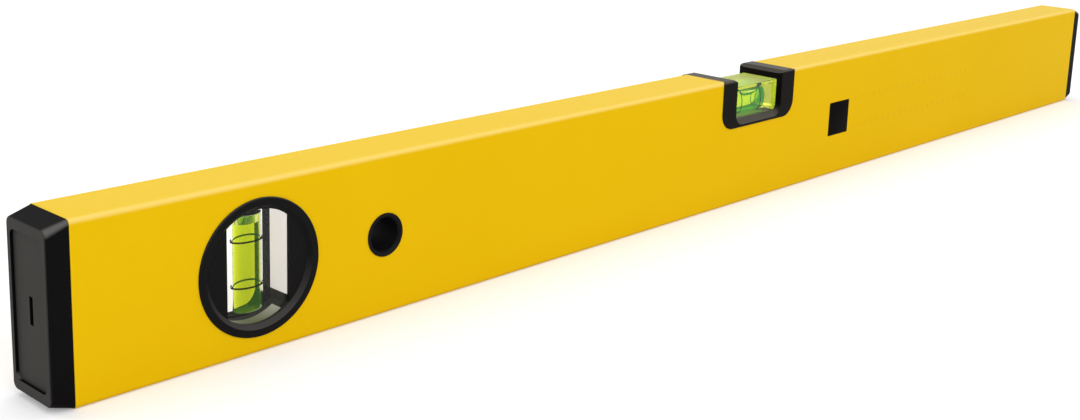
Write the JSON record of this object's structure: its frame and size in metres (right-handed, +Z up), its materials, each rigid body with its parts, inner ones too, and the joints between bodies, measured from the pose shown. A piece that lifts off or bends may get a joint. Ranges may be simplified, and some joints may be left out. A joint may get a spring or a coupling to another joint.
{
  "type": "box beam level",
  "caption": "Long rectangular box beam level with black end caps, a level vial set in the top edge, a round plumb vial unit and a bushed hanging hole.",
  "frame": {"origin": "middle of the measuring base, under the level vial", "axes": "+X along the level away from the plumb vial, +Y from the front face to the back face, +Z up from the measuring base"},
  "size_m": [0.6, 0.021, 0.05],
  "materials": {
    "yellow_coated_aluminium": "smooth yellow powder coat",
    "black_cap_plastic": "moulded, fine satin texture",
    "black_vial_plastic": "moulded, satin",
    "pale_carrier_plastic": "moulded, matt",
    "clear_acrylic": "clear, polished",
    "green_vial_fluid": "clear yellow-green liquid",
    "gas_bubble": "clear",
    "black_line": "printed line",
    "steel_pin": "plain",
    "clear_resin": "cast"
  },
  "bodies": {
    "level_body": {"profile": "yellow_coated_aluminium", "end_cap_left": "black_cap_plastic", "end_cap_right": "black_cap_plastic", "plumb_bezel_front": "black_vial_plastic", "plumb_bezel_rear": "black_vial_plastic", "plumb_carrier": "pale_carrier_plastic", "plumb_mounting_pins": "steel_pin", "plumb_vial_block": "clear_acrylic", "plumb_vial_tube": "clear_acrylic", "plumb_vial_plug": "clear_acrylic", "plumb_vial_lines": "black_line", "plumb_fluid": "green_vial_fluid", "hang_hole_bush_front": "black_vial_plastic", "hang_hole_bush_rear": "black_vial_plastic", "level_frame": "black_vial_plastic", "level_mounting_pins": "steel_pin", "level_resin_bed": "clear_resin", "level_vial_block": "clear_acrylic", "level_vial_plug": "clear_acrylic", "level_vial_lines": "black_line", "level_fluid": "green_vial_fluid"},
    "level_vial_bubble": {"level_bubble": "gas_bubble"},
    "plumb_vial_bubble": {"plumb_bubble": "gas_bubble"}
  },
  "joints": [
    {"name": "level_bubble_run", "type": "slide", "parent": "level_body", "child": "level_vial_bubble", "axis": [1, 0, 0], "range_m": [-0.0021, 0.0021], "stiffness_N_per_m": 1, "deforming": ["level_fluid"]},
    {"name": "plumb_bubble_run", "type": "slide", "parent": "level_body", "child": "plumb_vial_bubble", "axis": [0, 0, 1], "range_m": [-0.0251, 0], "stiffness_N_per_m": 1, "springref_m": 0.005, "deforming": ["plumb_fluid"]}
  ]
}
